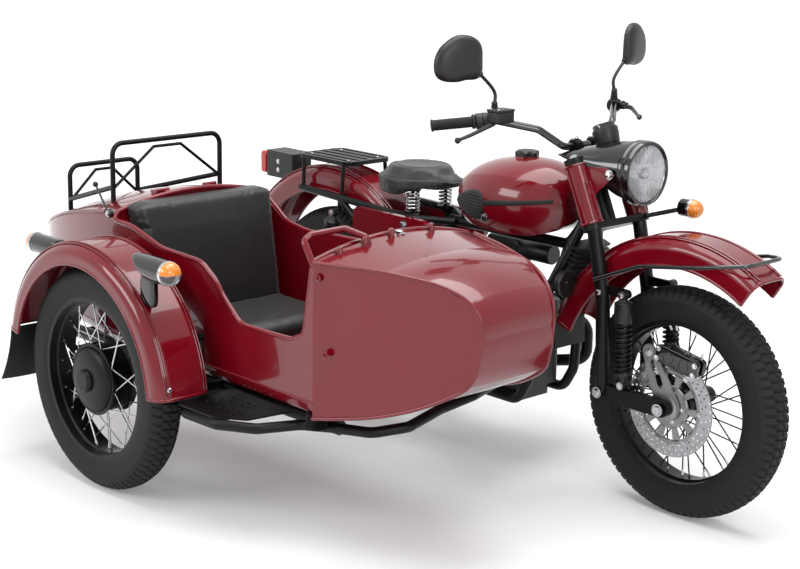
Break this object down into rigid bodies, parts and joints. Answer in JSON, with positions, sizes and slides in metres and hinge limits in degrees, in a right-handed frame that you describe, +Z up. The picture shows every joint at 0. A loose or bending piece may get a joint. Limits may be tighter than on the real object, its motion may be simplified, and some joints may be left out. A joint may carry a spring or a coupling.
{
  "type": "sidecar motorcycle",
  "caption": "Motorcycle with a leading link fork and boxer engine, joined to a one-seat sidecar with an open cockpit, a lidded trunk, luggage racks and spoked wheels.",
  "frame": {"origin": "on the floor, under the middle of the outline seen from above", "axes": "+X forward, +Y to the left, +Z up"},
  "size_m": [2.3479, 1.671, 1.338],
  "materials": {
    "frame_black": "satin",
    "body_red": "gloss",
    "tyre": "matte",
    "rim_black": "satin",
    "bright_steel": "satin",
    "alloy_grey": "satin",
    "engine_black": "satin",
    "black_plastic": "matte",
    "rubber": "matte",
    "vinyl": "satin",
    "clear_lens": "gloss",
    "amber_lens": "gloss",
    "red_lens": "gloss"
  },
  "bodies": {
    "chassis": {"rear_fender": "body_red", "sidecar_fender": "body_red", "sidecar_flap": "rubber", "main_frame": "frame_black", "swing_arm": "frame_black", "crankcase": "engine_black", "cylinders": "engine_black", "exhaust": "frame_black", "fuel_tank": "body_red", "fuel_cap": "black_plastic", "knee_pads": "rubber", "saddle": "vinyl", "saddle_springs": "frame_black", "side_covers": "body_red", "rear_rack": "frame_black", "tail_bracket": "black_plastic", "tail_light": "red_lens", "hull_tail": "body_red", "hull_tub": "body_red", "hull_nose": "body_red", "seat_back": "vinyl", "seat_cushion": "vinyl", "grab_rail": "body_red", "sidecar_frame": "frame_black", "shocks": "frame_black", "step_plate": "frame_black", "sidecar_signals": "black_plastic", "sidecar_lenses": "amber_lens"},
    "steering": {"fork": "frame_black", "fork_shocks": "frame_black", "fork_shrouds": "body_red", "front_fender": "body_red", "front_flap": "rubber", "fender_hoop": "frame_black", "headlight_shell": "frame_black", "headlight_lens": "clear_lens", "handlebar": "frame_black", "grips": "rubber", "controls": "black_plastic", "mirrors": "black_plastic", "speedometer": "black_plastic", "front_signal": "black_plastic", "front_signal_lens": "amber_lens", "caliper": "alloy_grey"},
    "front_wheel": {"front_tyre": "tyre", "front_rim": "rim_black", "brake_disc": "bright_steel"},
    "rear_wheel": {"rear_tyre": "tyre", "rear_rim": "rim_black"},
    "sidecar_wheel": {"sidecar_tyre": "tyre", "sidecar_rim": "rim_black"},
    "trunk": {"trunk_lid": "body_red", "trunk_rack": "frame_black"}
  },
  "joints": [
    {"name": "steering_head", "type": "hinge", "parent": "chassis", "child": "steering", "pos_m": [0.47606, 0.3845, 0.90003], "axis": [-0.4067, 0, 0.9135], "range_deg": [-35, 35]},
    {"name": "front_axle", "type": "hinge", "parent": "steering", "child": "front_wheel", "pos_m": [0.836, 0.3845, 0.338], "axis": [0, 1, 0], "continuous": true},
    {"name": "rear_axle", "type": "hinge", "parent": "chassis", "child": "rear_wheel", "pos_m": [-0.66, 0.3845, 0.338], "axis": [0, 1, 0], "continuous": true},
    {"name": "sidecar_axle", "type": "hinge", "parent": "chassis", "child": "sidecar_wheel", "pos_m": [-0.429, -0.7455, 0.338], "axis": [0, 1, 0], "continuous": true},
    {"name": "trunk_hinge", "type": "hinge", "parent": "chassis", "child": "trunk", "pos_m": [-0.60642, -0.3155, 0.83351], "axis": [0, 1, 0], "range_deg": [0, 70]}
  ]
}
